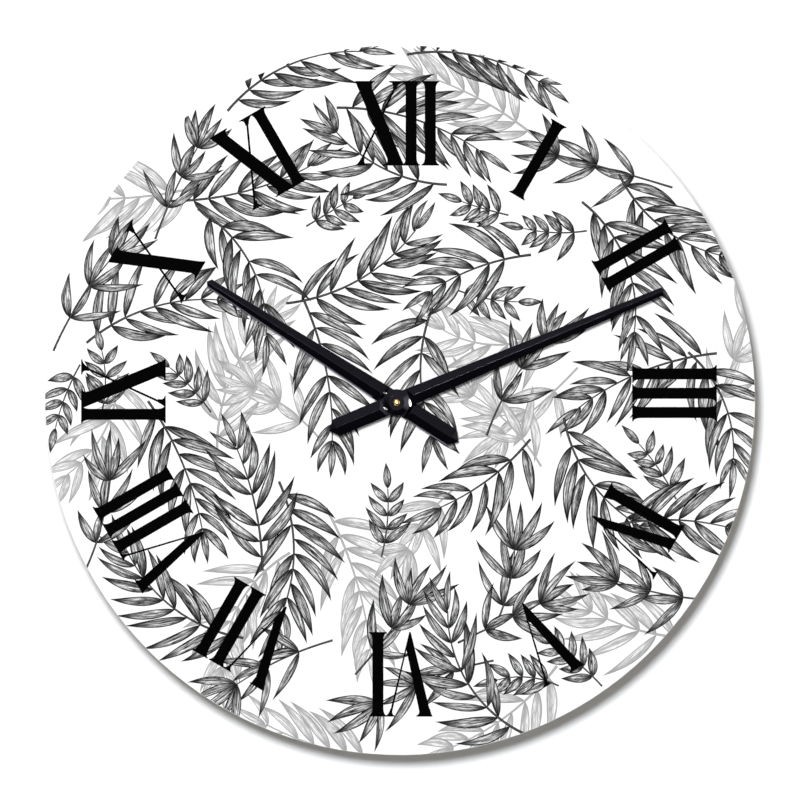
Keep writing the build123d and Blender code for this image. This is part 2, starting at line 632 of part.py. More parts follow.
# setting knob, fluted, sunk in the cover's well; its pinion turns the minute wheel
with BuildPart() as setting_knob:
    disc(axis_s, knob_r, 0.3, 0.3 + knob_t)
    with BuildSketch(face(0.3)):
        with Locations(axis_s):
            with PolarLocations(knob_r + 0.35, 20):
                Circle(0.6)
    extrude(amount=knob_t, mode=Mode.SUBTRACT)
    disc(axis_s, arbor_r + 0.4, 0.3 + knob_t, w_minute - 0.3)
    gear(axis_s, n_set, m_cannon, ph_set, w_minute - 0.3, w_minute + 1.3)
    disc(axis_s, arbor_r, w_minute + 1.3, w_front - 0.2)
    disc(axis_s, pivot_r, w_front - 0.2, w_front + 0.5)
setting_knob.part.label = "setting_knob"
export_step(setting_knob.part, "parts/setting_knob.step")

# ================================================================ hands


def arm_plane(along, w, angle):
    """Plane across a hand's arm at a distance along it; its y points at the viewer."""
    out = Vector(sin(radians(angle)), 0, cos(radians(angle)))
    return Plane(origin=out * along + Vector(0, -w, 0), x_dir=Vector(-out.Z, 0, out.X),
                 z_dir=out)


def roof(spans, w, angle):
    """Top of an arm, as (distance, half width, rim width, half crest) from root to tip."""
    sections = []
    for along, half, rim, crest in spans:
        lip = rim * tan(radians(rim_slope))
        rise = arm_rise(half, rim, crest)
        with BuildSketch(arm_plane(along, w, angle)) as section:
            with BuildLine():
                Polyline((-half, 0), (half, 0), (half - rim, lip), (crest, rise),
                         (-crest, rise), (rim - half, lip), close=True)
            make_face()
        sections.append(section.sketch.face())
    loft(sections, ruled=True)


def arm(angle, w, reach, half_root, half_tip, end, root):
    """One arm of a hand: flat blade with a blunt point, and a ridged top that starts at root."""
    out = Vector(sin(radians(angle)), 0, cos(radians(angle)))
    with BuildSketch(Plane(origin=(0, -w, 0), x_dir=out, z_dir=(0, -1, 0))) as blade:
        with BuildLine():
            Polyline((0, half_root), (reach - end, half_tip), (reach, 0),
                     (reach - end, -half_tip), (0, -half_root), close=True)
        make_face()
    extrude(blade.sketch, amount=hand_t)
    lean = (half_root - half_tip) / (reach - end)
    half_foot = half_root - lean * root
    half_ridge = half_root - lean * (root + hip_l)
    half_last = half_tip * 4 * fine / end
    spans = [(root, half_foot, fine, half_foot - 3 * fine),
             (root + hip_l, half_ridge, rim_w, crest_w / 2),
             (reach - end, half_tip, rim_w, crest_w / 2),
             (reach - 4 * fine, half_last, fine, half_last / 2)]
    roof(spans, w + hand_t, angle)


# hour hand: sheet metal arms on a collar that is pressed on the hour tube
root_x = hub_d / 2 + 0.2
with BuildPart() as hour_hand:
    arm(hour_angle, w_hour_hand, hour_len, hour_w0 / 2, hour_w1 / 2, 1.8, root_x)
    arm(hour_angle + 180, w_hour_hand, tail_len, hour_w0 / 2, hour_w0 / 2 - 0.1, 4.6, root_x)
    disc(axis_c, hub_d / 2 - 0.4, w_hour_hand, w_hour_hand + hand_t)
    disc(axis_c, tube_d / 2 + 1.6, w_hour_hand, w_tube - 0.1)
    disc(axis_c, tube_d / 2, w_hour_hand, w_tube, Mode.SUBTRACT)
hour_hand.part.label = "hour_hand"
export_step(hour_hand.part, "parts/hour_hand.step")

# minute hand: same build, with the conical hub on top
with BuildPart() as minute_hand:
    arm(minute_angle, w_minute_hand, minute_len, minute_w0 / 2, minute_w1 / 2, 1.6, root_x)
    arm(minute_angle + 180, w_minute_hand, tail_len, minute_w0 / 2, minute_w0 / 2 - 0.1, 4.4,
        root_x)
    disc(axis_c, hub_d / 2, w_minute_hand, w_minute_hand + hand_t)
    with BuildSketch(face(w_minute_hand + hand_t)):
        Circle(hub_d / 2)
    with BuildSketch(face(w_hub)):
        Circle(hub_top_d / 2)
    loft()
    with BuildSketch(face(w_minute_hand)):
        Circle(arbor_d / 2 + 0.01)
        Rectangle(arbor_d + 1, flat_d + 0.02, mode=Mode.INTERSECT)
    extrude(amount=hub_h, mode=Mode.SUBTRACT)
minute_hand.part.label = "minute_hand"
export_step(minute_hand.part, "parts/minute_hand.step")

# domed brass nut on the end of the minute arbor
cap_h = 1.9
with BuildPart() as cap_nut:
    disc(axis_c, cap_d / 2, w_hub, w_hub + cap_h)
    fillet(cap_nut.edges().group_by(Axis.Y)[0], cap_h - 0.5)
    disc(axis_c, 1.0, w_hub, w_hub + 1.0, Mode.SUBTRACT)
cap_nut.part.label = "cap_nut"
export_step(cap_nut.part, "parts/cap_nut.step")
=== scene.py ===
"""Looks of the round wall clock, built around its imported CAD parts.

Metres. The dial faces -Y, +Z is up towards XII, and the wall is the plane Y = 0.
"""
import json
import math
import random

import bpy
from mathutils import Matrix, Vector
from mathutils.geometry import delaunay_2d_cdt


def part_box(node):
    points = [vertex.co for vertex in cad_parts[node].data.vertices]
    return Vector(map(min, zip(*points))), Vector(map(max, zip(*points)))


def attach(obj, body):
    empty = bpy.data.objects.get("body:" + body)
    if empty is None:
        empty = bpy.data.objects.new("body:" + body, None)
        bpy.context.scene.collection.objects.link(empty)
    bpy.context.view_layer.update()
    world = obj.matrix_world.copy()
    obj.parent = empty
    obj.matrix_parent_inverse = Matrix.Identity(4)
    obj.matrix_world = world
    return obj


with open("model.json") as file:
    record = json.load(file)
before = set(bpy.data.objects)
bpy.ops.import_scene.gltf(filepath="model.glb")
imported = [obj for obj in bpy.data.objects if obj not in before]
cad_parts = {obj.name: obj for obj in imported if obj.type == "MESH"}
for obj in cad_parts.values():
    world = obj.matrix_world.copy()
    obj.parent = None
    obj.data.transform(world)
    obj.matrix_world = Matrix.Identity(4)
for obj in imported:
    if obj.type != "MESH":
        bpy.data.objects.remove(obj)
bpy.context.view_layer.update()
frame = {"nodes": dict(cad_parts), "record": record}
MM = 0.001

face_lo, face_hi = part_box("printed_face")
FRONT = face_lo.y                              # plane of the printed face
DISC_X = (face_lo.x + face_hi.x) / 2           # middle of the disc
DISC_Z = (face_lo.z + face_hi.z) / 2
DISC_R = (face_hi.x - face_lo.x) / 2

# ------------------------------------------------------------------ camera
VIEW_WIDTH = 0.4579                            # what the picture spans at the printed face
CAMERA_AT = 6.0                                # how far the camera is from the printed face
SENSOR = 36.0                                  # millimetres, as Blender wants sensor and lens
eye = bpy.data.cameras.new("camera")
eye.sensor_width = SENSOR
eye.lens = SENSOR * CAMERA_AT / VIEW_WIDTH
eye.clip_end = 60.0
camera = bpy.data.objects.new("camera", eye)
camera.location = (DISC_X, FRONT - CAMERA_AT, DISC_Z)
camera.rotation_euler = (math.pi / 2, 0, 0)
bpy.context.scene.collection.objects.link(camera)
bpy.context.scene.camera = camera


# ------------------------------------------------------------------ materials
class Nodes:
    """A node tree, with short ways to add to it. A value is a number or another node's socket."""

    def __init__(self, tree):
        self.tree = tree

    def find(self, kind):
        return next(n for n in self.tree.nodes if n.type == kind)

    def add(self, kind, **settings):
        node = self.tree.nodes.new(kind)
        for key, value in settings.items():
            setattr(node, key, value)
        return node

    def feed(self, node, index, value):
        if isinstance(value, bpy.types.NodeSocket):
            self.tree.links.new(value, node.inputs[index])
        elif value is not None:
            node.inputs[index].default_value = value

    def math(self, op, a, b=None, clamp=False):
        node = self.add("ShaderNodeMath", operation=op, use_clamp=clamp)
        self.feed(node, 0, a)
        self.feed(node, 1, b)
        return node.outputs[0]

    def ramp(self, value, start, end, low, high):
        """low at start, high at end, smooth between them."""
        node = self.add("ShaderNodeMapRange", interpolation_type="SMOOTHSTEP")
        for index, number in enumerate((value, start, end, low, high)):
            self.feed(node, index, number)
        return node.outputs[0]

    def step(self, value, start, end):
        """0 at start, 1 at end, smooth between them."""
        return self.ramp(value, start, end, 0.0, 1.0)

    def split(self, vector):
        node = self.add("ShaderNodeSeparateXYZ")
        self.feed(node, 0, vector)
        return node.outputs

    def join(self, x, y, z):
        node = self.add("ShaderNodeCombineXYZ")
        for index, value in enumerate((x, y, z)):
            self.feed(node, index, value)
        return node.outputs[0]


class Paint(Nodes):
    """One procedural material: a Principled shader and the nodes that feed it."""

    def __init__(self, name, color, rough, metal=0.0, **sockets):
        self.mat = bpy.data.materials.new(name)
        self.mat.use_nodes = True
        super().__init__(self.mat.node_tree)
        self.shader = self.find("BSDF_PRINCIPLED")
        self.put("Base Color", color)
        self.put("Roughness", rough)
        self.put("Metallic", metal)
        for key, value in sockets.items():
            self.put(key.replace("_", " "), value)

    def put(self, socket, value):
        """Sets a socket of the shader to a number, a colour or another node's socket."""
        self.feed(self.shader, socket, (*value, 1.0) if isinstance(value, tuple) else value)

    # a Mix node has its factor in socket 0, two numbers in 2 and 3, and two colours in 6 and 7
    def blend(self, factor, a, b):
        """Number that goes from a to b as factor goes from 0 to 1."""
        node = self.add("ShaderNodeMix")
        for index, value in ((0, factor), (2, a), (3, b)):
            self.feed(node, index, value)
        return node.outputs[0]

    def tint(self, factor, a, b):
        """Colour that goes from a to b as factor goes from 0 to 1."""
        node = self.add("ShaderNodeMix", data_type="RGBA")
        self.feed(node, 0, factor)
        for index, color in ((6, a), (7, b)):
            self.feed(node, index, (*color, 1.0) if isinstance(color, tuple) else color)
        return node.outputs[2]

    def place(self):
        """Place in the object's own space, in metres, so that noise scales are per metre."""
        return self.add("ShaderNodeTexCoord").outputs["Object"]

    def noise(self, vector, scale, detail=2.0, rough=0.5):
        node = self.add("ShaderNodeTexNoise")
        self.feed(node, "Vector", vector)
        self.feed(node, "Scale", scale)
        self.feed(node, "Detail", detail)
        self.feed(node, "Roughness", rough)
        return node.outputs[0]

    def bump(self, height, depth, strength=1.0):
        node = self.add("ShaderNodeBump")
        self.feed(node, "Strength", strength)
        self.feed(node, "Distance", depth)
        self.feed(node, "Height", height)
        self.put("Normal", node.outputs[0])


def flecked(name, light, dark, rough, size, depth):
    """Solid stock whose colour, gloss and surface vary a little, grain by grain.

    size is a grain's size and depth its height."""
    paint = Paint(name, light, rough)
    place = paint.place()
    grain = paint.noise(place, 1 / size, 3.0, 0.6)
    cloud = paint.noise(place, 0.06 / size, 2.0, 0.5)
    paint.put("Base Color", paint.tint(paint.step(grain, 0.3, 0.7), dark, light))
    paint.put("Roughness", paint.blend(cloud, rough * 0.8, min(rough * 1.2, 1.0)))
    paint.bump(grain, depth)
    return paint.mat


def turned(name, light, dark, rough):
    """Metal with the fine rings that a lathe leaves, here round the axis of the hands."""
    paint = Paint(name, light, rough, 1.0)
    x, y, z = paint.split(paint.place())
    radius = paint.math("SQRT", paint.math("ADD", paint.math("MULTIPLY", x, x),
                                           paint.math("MULTIPLY", z, z)))
    rings = paint.noise(paint.join(radius, paint.math("MULTIPLY", y, 0.6), 0.0), 9000.0, 2.0)
    stain = paint.noise(paint.place(), 600.0, 3.0)
    paint.put("Base Color", paint.tint(paint.step(stain, 0.35, 0.75), light, dark))
    paint.put("Roughness", paint.blend(stain, rough * 0.8, rough * 1.3))
    paint.bump(rings, 0.01 * MM, 0.5)
    return paint.mat


def brushed(name, light, dark, rough):
    """Sheet metal with a faint lengthwise rolling grain."""
    paint = Paint(name, light, rough, 1.0)
    x, y, z = paint.split(paint.place())
    grain = paint.noise(paint.join(paint.math("MULTIPLY", x, 12.0), y, z), 900.0, 3.0)
    cloud = paint.noise(paint.place(), 90.0, 3.0)
    paint.put("Base Color", paint.tint(paint.step(cloud, 0.3, 0.7), dark, light))
    paint.put("Roughness", paint.blend(grain, rough * 0.75, rough * 1.3))
    paint.bump(grain, 0.01 * MM, 0.4)
    return paint.mat


board = flecked("fibreboard", (0.45, 0.35, 0.25), (0.32, 0.24, 0.165), 0.85,
                1.1 * MM, 0.06 * MM)
rubber = flecked("rubber", (0.028, 0.028, 0.028), (0.016, 0.016, 0.016), 0.8,
                 0.5 * MM, 0.02 * MM)
case_black = flecked("case_plastic", (0.022, 0.022, 0.025), (0.014, 0.014, 0.016), 0.42,
                     0.35 * MM, 0.03 * MM)
knob_black = flecked("knob_plastic", (0.035, 0.035, 0.038), (0.024, 0.024, 0.027), 0.35,
                     0.4 * MM, 0.01 * MM)
frame_white = flecked("frame_plastic", (0.80, 0.80, 0.77), (0.74, 0.74, 0.70), 0.4,
                      0.8 * MM, 0.01 * MM)
gear_white = flecked("gear_plastic_white", (0.84, 0.84, 0.82), (0.78, 0.78, 0.75), 0.35,
                     0.6 * MM, 0.005 * MM)
gear_amber = flecked("gear_plastic_amber", (0.62, 0.40, 0.16), (0.52, 0.32, 0.12), 0.35,
                     0.6 * MM, 0.005 * MM)
resin = flecked("chip_resin", (0.012, 0.012, 0.012), (0.007, 0.007, 0.007), 0.22,
                0.6 * MM, 0.02 * MM)
magnet = flecked("ferrite", (0.11, 0.11, 0.12), (0.07, 0.07, 0.08), 0.55,
                 0.3 * MM, 0.01 * MM)
brass = turned("brass", (0.86, 0.62, 0.27), (0.70, 0.45, 0.16), 0.16)
satin_brass = turned("satin_brass", (0.76, 0.51, 0.19), (0.54, 0.32, 0.09), 0.25)
zinc = brushed("zinc_steel", (0.66, 0.67, 0.69), (0.52, 0.53, 0.55), 0.34)
iron = brushed("soft_iron", (0.36, 0.36, 0.37), (0.26, 0.26, 0.27), 0.42)

# printed face: coated white sheet with a faint orange peel
sheet = Paint("coated_sheet", (0.965, 0.965, 0.962), 0.55, Specular_IOR_Level=0.15)
fibre = sheet.noise(sheet.place(), 1400.0, 3.0)
sheet.put("Base Color", sheet.tint(sheet.step(fibre, 0.25, 0.75), (0.955, 0.955, 0.952),
                                   (0.972, 0.972, 0.970)))
sheet.bump(fibre, 0.004 * MM)
sheet = sheet.mat

# hands: gloss black lacquer with a blue cast; pale metal ovals at the hub's foot are painted
# glints, painted highlights. Each painted glint is an oval: x, z, lean, half length, half width
PAINTED_GLINTS = [(7.6 * MM, -0.3 * MM, math.radians(101), 2.3 * MM, 0.75 * MM),
         (-6.7 * MM, 5.4 * MM, math.radians(-8), 1.05 * MM, 0.55 * MM),
         (-6.4 * MM, -3.5 * MM, math.radians(-30), 1.5 * MM, 0.5 * MM)]
lacquer = Paint("black_lacquer", (0.0014, 0.0014, 0.0022), 0.08, Specular_Tint=(0.80, 0.78, 1.0),
                Specular_IOR_Level=0.62)
lx, _, lz = lacquer.split(lacquer.place())
haze = lacquer.noise(lacquer.place(), 160.0, 3.0)
painted_glint_mask = 0.0
for nx, nz, lean, long, wide in PAINTED_GLINTS:
    ca, sa = math.cos(lean), math.sin(lean)
    px = lacquer.math("SUBTRACT", lx, nx)
    pz = lacquer.math("SUBTRACT", lz, nz)
    across = lacquer.math("ADD", lacquer.math("MULTIPLY", px, ca / long),
                          lacquer.math("MULTIPLY", pz, sa / long))
    down = lacquer.math("ADD", lacquer.math("MULTIPLY", px, -sa / wide),
                        lacquer.math("MULTIPLY", pz, ca / wide))
    far = lacquer.math("ADD", lacquer.math("MULTIPLY", across, across),
                       lacquer.math("MULTIPLY", down, down))
    painted_glint_mask = lacquer.math("MAXIMUM", lacquer.step(far, 1.15, 0.75), painted_glint_mask)
paint_color = lacquer.tint(lacquer.step(haze, 0.3, 0.7), (0.0011, 0.0011, 0.0017),
                           (0.0017, 0.0017, 0.0028))
# painted glints: pale bare metal inside the ovals, the black lacquer elsewhere
lacquer.put("Base Color", lacquer.tint(painted_glint_mask, paint_color, (0.90, 0.88, 0.85)))
lacquer.put("Metallic", lacquer.blend(painted_glint_mask, 0.0, 1.0))
lacquer.put("Roughness", lacquer.blend(painted_glint_mask, lacquer.blend(haze, 0.065, 0.095), 0.5))
lacquer = lacquer.mat

# coil: fine enamelled wire wound round X, its colour painted darker in the grooves between turns
# and lighter on their tops, as painted shade and highlight
WIRE_PITCH = 0.16 * MM
wire = Paint("copper_wire", (0.60, 0.22, 0.08), 0.3, 0.6)
wx, _, _ = wire.split(wire.place())
turns = wire.math("SINE", wire.math("MULTIPLY", wx, 2 * math.pi / WIRE_PITCH))
painted_turn_shading = wire.math("ADD", wire.math("MULTIPLY", turns, 0.5), 0.5)
# painted shade in the grooves between turns, painted highlight on their tops
wire.put("Base Color", wire.tint(painted_turn_shading, (0.30, 0.09, 0.03), (0.68, 0.27, 0.10)))
wire.bump(turns, 0.04 * MM)
wire = wire.mat

# circuit board: green solder mask over copper tracks
mask = Paint("solder_mask", (0.03, 0.20, 0.09), 0.3)
mx, _, mz = mask.split(mask.place())
cell = mask.add("ShaderNodeTexVoronoi", feature="DISTANCE_TO_EDGE", distance="MANHATTAN")
mask.feed(cell, "Vector", mask.join(mx, 0.0, mz))
mask.feed(cell, "Scale", 420.0)
track = mask.step(cell.outputs["Distance"], 0.16, 0.24)
mask.put("Base Color", mask.tint(track, (0.05, 0.27, 0.12), (0.02, 0.13, 0.055)))
mask.bump(track, 0.02 * MM)
mask = mask.mat

# cell: printed metal jacket with a coppery band at its positive end and bare steel ends
BAND = 14.9 * MM
BARE_PLUS = 2.0 * MM
BARE_MINUS = 0.6 * MM
BLUR = 0.1 * MM                                # half the width over which a colour gives way
cell_lo, cell_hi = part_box("battery")
jacket = Paint("cell_jacket", (0.05, 0.10, 0.22), 0.25, 0.3)
jx, _, _ = jacket.split(jacket.place())
scuff = jacket.noise(jacket.place(), 350.0, 4.0)
band = jacket.step(jx, cell_hi.x - BAND - BLUR, cell_hi.x - BAND + BLUR)
blue = jacket.tint(jacket.step(scuff, 0.3, 0.75), (0.035, 0.075, 0.17), (0.06, 0.12, 0.26))
skin = jacket.tint(band, blue, (0.62, 0.34, 0.14))
bare = jacket.math("MAXIMUM",
                   jacket.step(jx, cell_hi.x - BARE_PLUS - BLUR, cell_hi.x - BARE_PLUS + BLUR),
                   jacket.step(jx, cell_lo.x + BARE_MINUS + BLUR, cell_lo.x + BARE_MINUS - BLUR))
jacket.put("Base Color", jacket.tint(bare, skin, (0.60, 0.60, 0.60)))
jacket.put("Metallic", jacket.blend(bare, 0.3, 1.0))
jacket.put("Roughness", jacket.blend(scuff, 0.2, 0.36))
jacket.bump(scuff, 0.006 * MM)
jacket = jacket.mat

finishes = {
    "board": board, "print": sheet, "rubber": rubber, "brass": brass, "zinc_steel": zinc,
    "iron": iron, "case_black": case_black, "knob_black": knob_black,
    "frame_white": frame_white, "gear_white": gear_white, "gear_amber": gear_amber,
    "copper_wire": wire, "board_green": mask, "resin_black": resin, "magnet": magnet,
    "cell_wrap": jacket, "hand_black": lacquer,
}
for part in frame["record"]["subparts"]:
    node = frame["nodes"][part["node"]]
    node.data.materials.clear()
    node.data.materials.append(finishes[part["material_slot"]])
frame["nodes"]["cap_nut"].data.materials[0] = satin_brass   # duller than the other brass

# small rounded edges, which catch the light as real ones do, between faces that stay flat
EDGE_WIDTH = 0.16 * MM
EDGE_ANGLE = math.radians(12.0)                # edges that turn by more than this are rounded
for name in ("minute_hand", "hour_hand"):
    node = frame["nodes"][name]
    for mark in ("custom_normal", "sharp_edge", "sharp_face"):
        if mark in node.data.attributes:
            node.data.attributes.remove(node.data.attributes[mark])
    node.data.shade_smooth()
    weld = node.modifiers.new("joined", "WELD")
    weld.merge_threshold = 0.002 * MM
    bevel = node.modifiers.new("soft_edges", "BEVEL")
    bevel.width = EDGE_WIDTH
    bevel.segments = 3
    bevel.limit_method = "ANGLE"
    bevel.angle_limit = EDGE_ANGLE
    bevel.harden_normals = True

# ------------------------------------------------------------------ printed foliage
# leaves and stems are drawn in millimetres from the disc's middle
rng = random.Random(41)
PRINT_R = DISC_R / MM - 0.12                   # the print ends just inside the sheet's edge


def turn(point, angle, reach):
    """Point that is a distance away from another, in the direction of an angle."""
    return (point[0] + reach * math.cos(angle), point[1] + reach * math.sin(angle))


def trail(start, angle, length, bend, steps):
    """Points and headings of a line that starts at an angle and turns by bend over its length."""
    points, headings = [start], [angle]
    for i in range(steps):
        heading = angle + bend * (i + 0.5) / steps
        points.append(turn(points[-1], heading, length / steps))
        headings.append(angle + bend * (i + 1) / steps)
    return points, headings


class Stroke:
    """A leaf or a stem: a middle line and its half width at each of its points."""

    def __init__(self, points, headings, widths, tone, kind):
        self.points, self.headings, self.widths = points, headings, widths
        self.tone, self.kind = tone, kind
        self.seed = rng.random()

    def halves(self):
        """The outlines of its left and right half, as (x, y, u, v) corners."""
        last = len(self.points) - 1
        middle, left, right = [], [], []
        for i, ((x, y), a, w) in enumerate(zip(self.points, self.headings, self.widths)):
            u = i / last
            middle.append((x, y, u, 0.0))
            if w > 0:
                left.append((x - w * math.sin(a), y + w * math.cos(a), u, 1.0))
                right.append((x + w * math.sin(a), y - w * math.cos(a), u, -1.0))
        return middle + left[::-1], middle[::-1] + right

    def locate(self, x, y):
        """Place of a point on the stroke: how far along, and how far across."""
        best = None
        last = len(self.points) - 1
        for i in range(last):
            (ax, ay), (bx, by) = self.points[i], self.points[i + 1]
            dx, dy = bx - ax, by - ay
            size = dx * dx + dy * dy
            t = min(max(((x - ax) * dx + (y - ay) * dy) / size, 0.0), 1.0)
            px, py = x - ax - t * dx, y - ay - t * dy
            off = px * px + py * py
            if best is None or off < best[0]:
                w = self.widths[i] * (1 - t) + self.widths[i + 1] * t
                side = (dx * py - dy * px) / math.sqrt(size)
                best = (off, (i + t) / last, side, w)
        across = best[2] / best[3] if best[3] > 0.02 else 0.0
        return best[1], max(-1.0, min(1.0, across))


LEAF_RISE, LEAF_FALL = 0.8, 1.2                # a leaf's width goes as t^RISE (1-t)^FALL


def leaf(at, angle, length, width, bend, tone):
    """Leaf that curves by bend; a third of the way from its foot it heads along the angle."""
    points, headings = trail(at, angle - bend * 0.35, length, bend, 11)
    last = len(points) - 1
    top = LEAF_RISE / (LEAF_RISE + LEAF_FALL)  # where it is widest
    peak = top ** LEAF_RISE * (1 - top) ** LEAF_FALL
    widths = []
    for i in range(last + 1):
        t = i / last
        shape = t ** LEAF_RISE * (1 - t) ** LEAF_FALL / peak
        widths.append(width / 2 * shape if 0 < i < last else 0.0)
    return Stroke(points, headings, widths, tone, "leaf")


def stem(points, headings, w0, w1, tone):
    """Stem along a line, with half widths that go from w0 to w1."""
    last = len(points) - 1
    widths = [w0 + (w1 - w0) * i / last for i in range(last + 1)]
    return Stroke(points, headings, widths, tone, "stem")


def willow(at, angle, tone, r):
    """Curved shoot with long narrow leaves set in turn on its two sides."""
    steps = 18
    length = r.uniform(58, 88)
    bend = r.choice((-1, 1)) * r.uniform(0.35, 1.15)
    points, headings = trail(at, angle, length, bend, steps)
    made = []
    count = int(length / 8.6)                  # forks, one every 8.6 mm
    for i in range(count):
        s = 0.10 + 0.88 * i / (count - 1)      # how far along the shoot this fork is
        k = s * steps
        j = min(int(k), steps - 1)
        base = tuple(points[j][c] + (points[j + 1][c] - points[j][c]) * (k - j) for c in (0, 1))
        for side in (-1, 1) if i % 3 else (r.choice((-1, 1)),):
            fork = side * math.radians(r.uniform(38, 56) - 18 * s)
            size = 0.62 + 0.45 * math.sin(math.pi * min(1, 0.25 + s * 0.75))
            size *= r.uniform(0.9, 1.1)
            wide = 5.6 * size ** 0.5 * r.uniform(0.85, 1.15)
            made.append(leaf(base, headings[j] + fork, 34 * size, wide,
                             -side * r.uniform(0.15, 0.85), tone))
    made.append(leaf(points[-1], headings[-1], r.uniform(19, 25), 4.2, bend * 0.3, tone))
    made.append(stem(points, headings, 0.75, 0.35, tone))
    return made


def cane(at, angle, tone, r):
    """Thin jointed cane with a drooping fan of leaves at each joint."""
    length = r.uniform(46, 70)
    bend = r.uniform(-0.5, 0.5)
    points, headings = trail(at, angle, length, bend, 12)
    made = []
    for k, spread in ((4, 3), (8, 4), (12, 5)):  # a joint's point and how many leaves it has
        side = r.choice((-1, 1))
        for i in range(spread):
            fan = side * math.radians(-38 + 92 * i / (spread - 1)) + r.uniform(-0.08, 0.08)
            made.append(leaf(points[k], headings[k] + fan, r.uniform(21, 33), r.uniform(4.3, 6.0),
                             -math.copysign(r.uniform(0.2, 0.6), fan), tone))
    made.append(stem(points, headings, 0.62, 0.35, tone))
    return made


def twig(at, angle, tone, r):
    """Short shoot with small paired leaves."""
    length = r.uniform(26, 40)
    bend = r.uniform(-0.9, 0.9)
    points, headings = trail(at, angle, length, bend, 10)
    made = []
    for k in (2, 4, 6, 8):
        for side in (-1, 1):
            made.append(leaf(points[k], headings[k] + side * math.radians(r.uniform(38, 58)),
                             r.uniform(15, 20) * (1.1 - k * 0.04), r.uniform(4.6, 5.6),
                             -side * r.uniform(0.1, 0.5), tone))
    made.append(leaf(points[-1], headings[-1], 15, 4.6, 0.1, tone))
    made.append(stem(points, headings, 0.5, 0.3, tone))
    return made


GRID = 3.0                                     # cell of the map that says what is covered
PAST_RIM = 4.0                                 # the map goes this far past the print's edge
WIDE, BESIDE = 1.4, 1.6                        # a half width over WIDE covers this far beside it
FEWEST = 25                                    # cells on the map that a shoot has at least
OUTSIDE = 12.0                                 # shoots start up to this far outside the print


def cells(strokes):
    """Map cells that some strokes cover: under their middle line, and beside it where wide."""
    found = set()
    for s in strokes:
        for (x, y), heading, w in zip(s.points, s.headings, s.widths):
            if math.hypot(x, y) < PRINT_R + PAST_RIM:
                found.add((round(x / GRID), round(y / GRID)))
                if w > WIDE:
                    for off in (-BESIDE, BESIDE):
                        bx, by = turn((x, y), heading + math.pi / 2, off)
                        found.add((round(bx / GRID), round(by / GRID)))
    return found


def fill(shapes, count, tone, taken, crowd, tries):
    """Sets shoots one by one, each where of many tries it overlaps least and fills most.

    taken is the map's covered cells, which grows, and crowd is what an overlap costs."""
    placed = []
    for n in range(count):
        best = None
        make = shapes[n % len(shapes)]
        for _ in range(tries):
            r = random.Random(rng.random())
            reach = (PRINT_R + OUTSIDE) * math.sqrt(r.random())
            at = turn((0.0, 0.0), r.uniform(-math.pi, math.pi), reach)
            strokes = make(at, r.uniform(-math.pi, math.pi), tone, r)
            area = cells(strokes)
            if len(area) < FEWEST:
                continue
            score = len(area) - crowd * len(area & taken)
            if best is None or score > best[0]:
                best = (score, strokes, area)
        placed.extend(best[1])
        taken |= best[2]
    return placed


dark_cells = set()
dark = fill([willow, cane, willow, twig], count=45, tone=1.0, taken=dark_cells, crowd=2.8,
            tries=40)
pale_cells = set(dark_cells)
pale = fill([willow, willow, cane], count=15, tone=0.42, taken=pale_cells, crowd=1.5,
            tries=30)
strokes = pale + dark

HUB = Vector((-DISC_X / MM, -DISC_Z / MM))     # the axis of the hands
UNDER_WASHER = 5.5                             # a stroke that stays within this isn't drawn
PRINT_HOLE = 6.0                               # and no ink lies this near, where the washer is
RIM_SIDES = 720
INSIDE = 1                                     # asks for the triangles inside the outlines alone
PIECES = 3                                     # meshes that share the print, for finer baking

# flat arrangement of everything drawn: each bit of it belongs to the topmost stroke there;
# known says of each point which stroke it is on, and its place along and across that stroke
points_in, known, outlines, owner = [], [], [], []
for number, s in enumerate(strokes):
    if max((Vector(p) - HUB).length for p in s.points) < UNDER_WASHER:
        continue
    for half in s.halves():
        ring = []
        for x, y, u, v in half:
            ring.append(len(points_in))
            points_in.append(Vector((x, y)))
            known.append((number, u, v))
        if len(ring) > 2:
            outlines.append(ring)
            owner.append(number)
rim = len(outlines)
ring = []
for k in range(RIM_SIDES):
    ring.append(len(points_in))
    points_in.append(Vector(turn((0, 0), k * 2 * math.pi / RIM_SIDES, PRINT_R)))
    known.append((-1, 0, 0))                   # on no stroke
outlines.append(ring)
flat, _, tris, from_points, _, from_faces = delaunay_2d_cdt(points_in, [], outlines, INSIDE, 1e-5)
bits = [[] for _ in range(PIECES)]             # a triangle and its stroke's number
for tri, sources in zip(tris, from_faces):
    above = [f for f in sources if f != rim]
    if rim in sources and above:
        mid = sum((flat[i] for i in tri), Vector((0, 0))) / 3
        if (mid - HUB).length > PRINT_HOLE:
            number = owner[max(above)]
            bits[number % PIECES].append((tri, number))


def uv_of(index, number):
    """Place of a point of the arrangement on a stroke."""
    for source in from_points[index]:
        if known[source][0] == number:
            return known[source][1:]
    return strokes[number].locate(*flat[index])


CELL_SHAPE = 4.0                               # a cell is about so many times as wide as high
SPARE_U, SPARE_V = 0.03, 0.06                  # its margins, as shares of it


